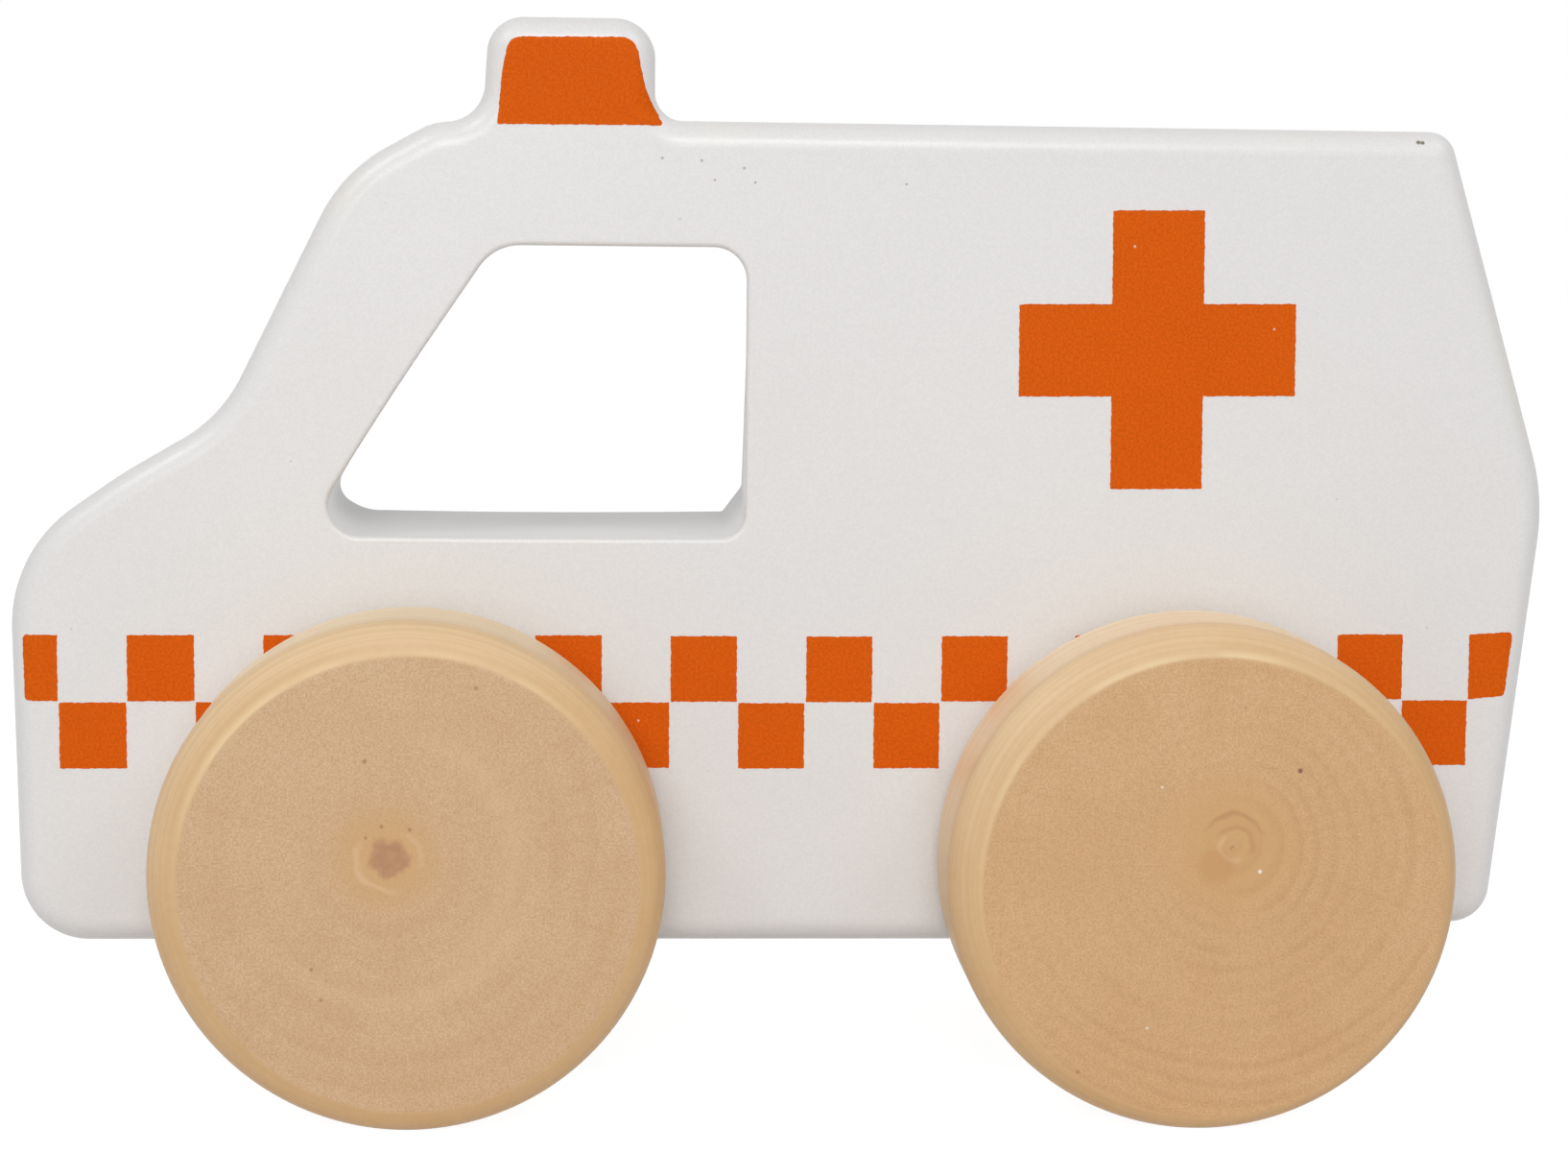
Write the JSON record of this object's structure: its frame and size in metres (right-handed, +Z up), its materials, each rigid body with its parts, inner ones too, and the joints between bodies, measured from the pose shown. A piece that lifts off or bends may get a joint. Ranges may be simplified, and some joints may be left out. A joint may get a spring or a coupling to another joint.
{
  "type": "toy ambulance",
  "caption": "Push-along wooden ambulance: a round-edged board body with a grip window and roof beacon, rolling on wooden wheels glued to dowel axles.",
  "frame": {"origin": "on the ground under the middle of the toy: half way between nose and tail, in the middle plane of the body board, at the lowest line of the wheels", "axes": "+X from the nose towards the tail, +Y to the toy's right-hand side, +Z up"},
  "size_m": [0.1538, 0.0596, 0.108],
  "materials": {
    "white_paint": "satin white paint on wood",
    "orange_ink": "matt screen-printed ink on the painted faces: cross, checks and beacon panel",
    "wheel_wood": "sanded, clear-lacquered end-grain wood",
    "dowel_wood": "bare wood dowel"
  },
  "bodies": {
    "body": {"body": "white_paint"},
    "front_wheels": {"front_axle": "dowel_wood", "front_left_wheel": "wheel_wood", "front_right_wheel": "wheel_wood"},
    "rear_wheels": {"rear_axle": "dowel_wood", "rear_left_wheel": "wheel_wood", "rear_right_wheel": "wheel_wood"}
  },
  "joints": [
    {"name": "front_roll", "type": "hinge", "parent": "body", "child": "front_wheels", "pos_m": [-0.03692, 0, 0.025], "axis": [0, 1, 0], "continuous": true},
    {"name": "rear_roll", "type": "hinge", "parent": "body", "child": "rear_wheels", "pos_m": [0.04048, 0, 0.025], "axis": [0, 1, 0], "continuous": true}
  ]
}
